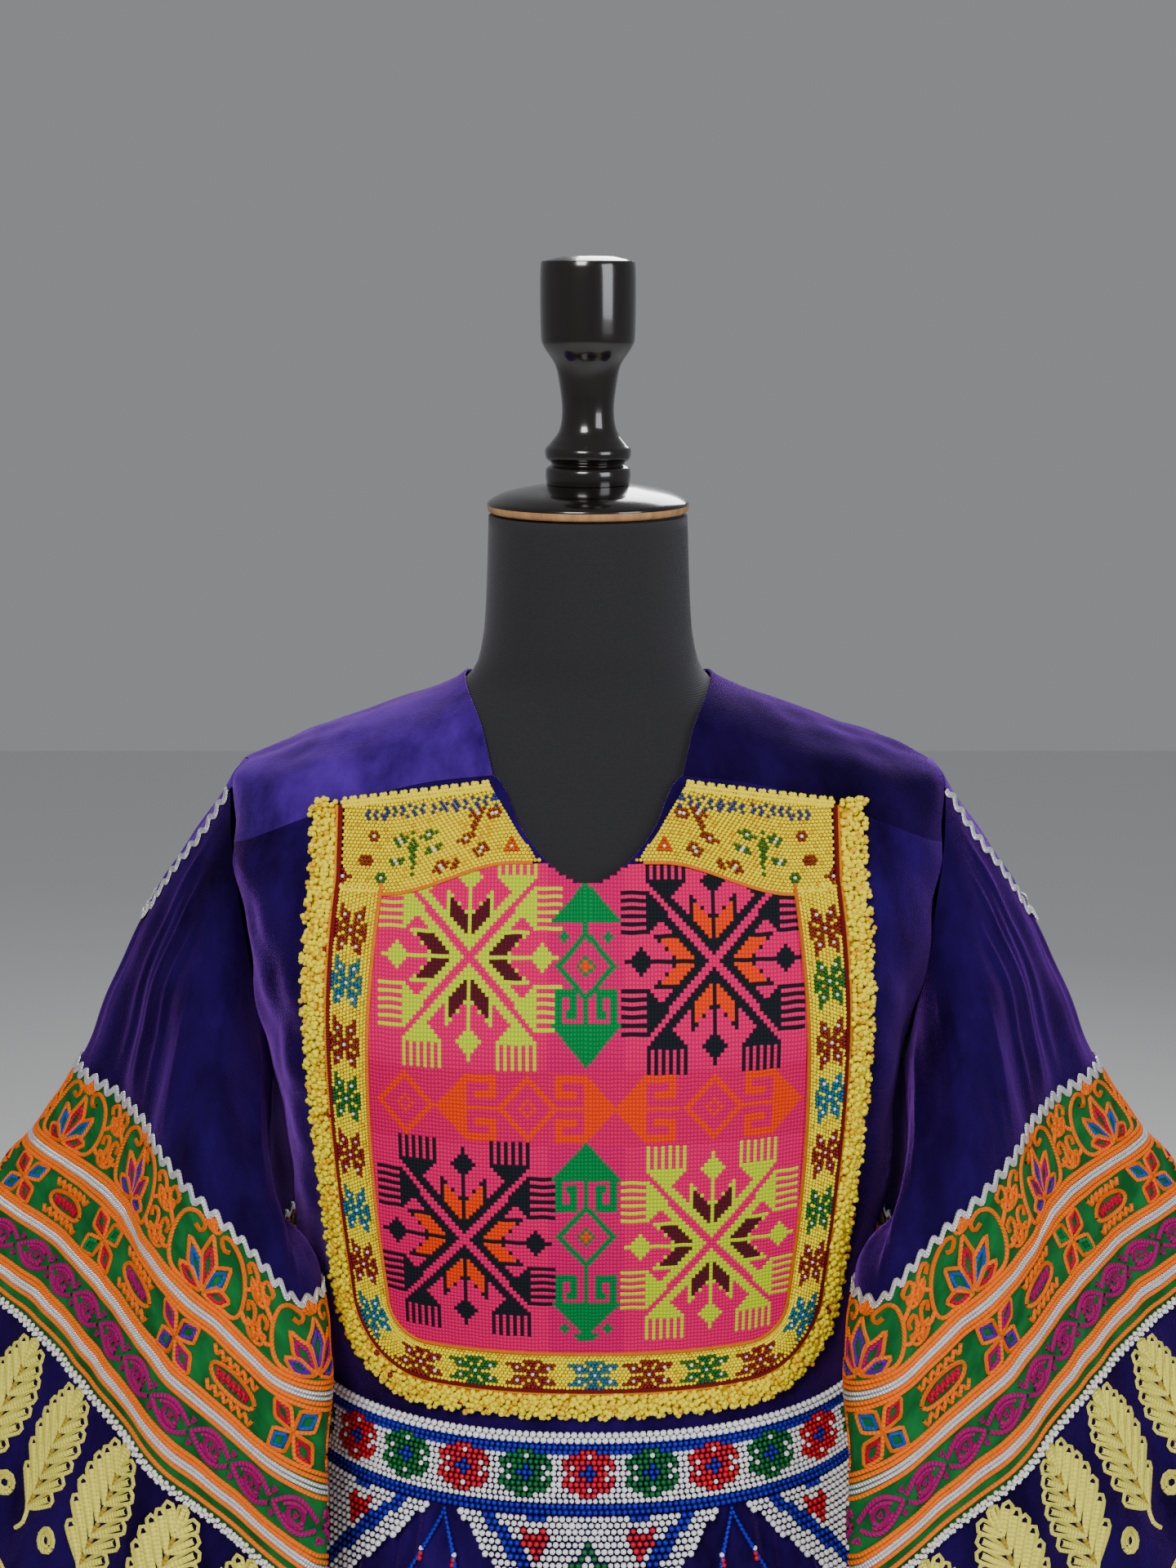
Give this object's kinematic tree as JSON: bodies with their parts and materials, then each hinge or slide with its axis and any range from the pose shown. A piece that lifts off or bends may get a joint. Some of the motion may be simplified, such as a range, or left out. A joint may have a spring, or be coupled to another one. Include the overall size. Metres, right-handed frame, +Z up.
{
  "type": "kuchi dress on a limbless dress form",
  "caption": "Velvet dress with a beaded and stitched chest panel, beaded belt, wide banded bell sleeves and gathered skirt, worn by a dress form on a pole stand.",
  "frame": {"origin": "on the floor under the middle of the whole piece, which is the pole's axis", "axes": "+Z up along the pole, -Y is the front of the dress, +X is the side of its left sleeve"},
  "size_m": [0.94, 0.8796, 1.589],
  "materials": {
    "velvet": "silk-look cotton velvet with a deep sheen",
    "green_cotton": "plain cotton under chain stitch",
    "stitched_field": "close counted silk stitches on cotton",
    "yellow_beadwork": "opaque glass seed beads",
    "belt_beadwork": "netted glass seed beads",
    "white_beads": "opaque glass beads",
    "silver_braid": "metallic thread braid",
    "jersey": "matt stretch jersey",
    "lacquered_wood": "black gloss lacquer over turned wood",
    "stained_wood": "dark stain, satin",
    "black_steel": "satin black paint"
  },
  "bodies": {
    "root": {"bodice_front": "velvet", "bodice_back": "velvet", "shoulder_yoke_left": "velvet", "shoulder_yoke_right": "velvet", "skirt_gore_1": "velvet", "skirt_gore_2": "velvet", "skirt_gore_3": "velvet", "skirt_gore_4": "velvet", "skirt_gore_5": "velvet", "skirt_gore_6": "velvet", "skirt_gore_7": "velvet", "skirt_gore_8": "velvet", "sleeve_cap_left": "velvet", "sleeve_cap_right": "velvet", "sleeve_upper_left": "velvet", "sleeve_upper_right": "velvet", "sleeve_lower_left": "velvet", "sleeve_lower_right": "velvet", "sleeve_band_left": "green_cotton", "sleeve_band_right": "green_cotton", "panel_field": "stitched_field", "bead_border": "yellow_beadwork", "bead_fringe": "yellow_beadwork", "bead_top_left": "yellow_beadwork", "bead_top_right": "yellow_beadwork", "belt_band": "belt_beadwork", "belt_point_1": "belt_beadwork", "belt_point_2": "belt_beadwork", "belt_point_3": "belt_beadwork", "belt_point_4": "belt_beadwork", "belt_point_5": "belt_beadwork", "belt_point_6": "belt_beadwork", "bead_rope_left": "white_beads", "bead_rope_right": "white_beads", "cap_braid_left": "silver_braid", "cap_braid_right": "silver_braid", "band_braid_left": "silver_braid", "band_braid_right": "silver_braid", "form_torso": "jersey", "neck_cap": "lacquered_wood", "finial": "lacquered_wood", "stand_base": "stained_wood", "stand_pole": "black_steel"}
  },
  "joints": []
}
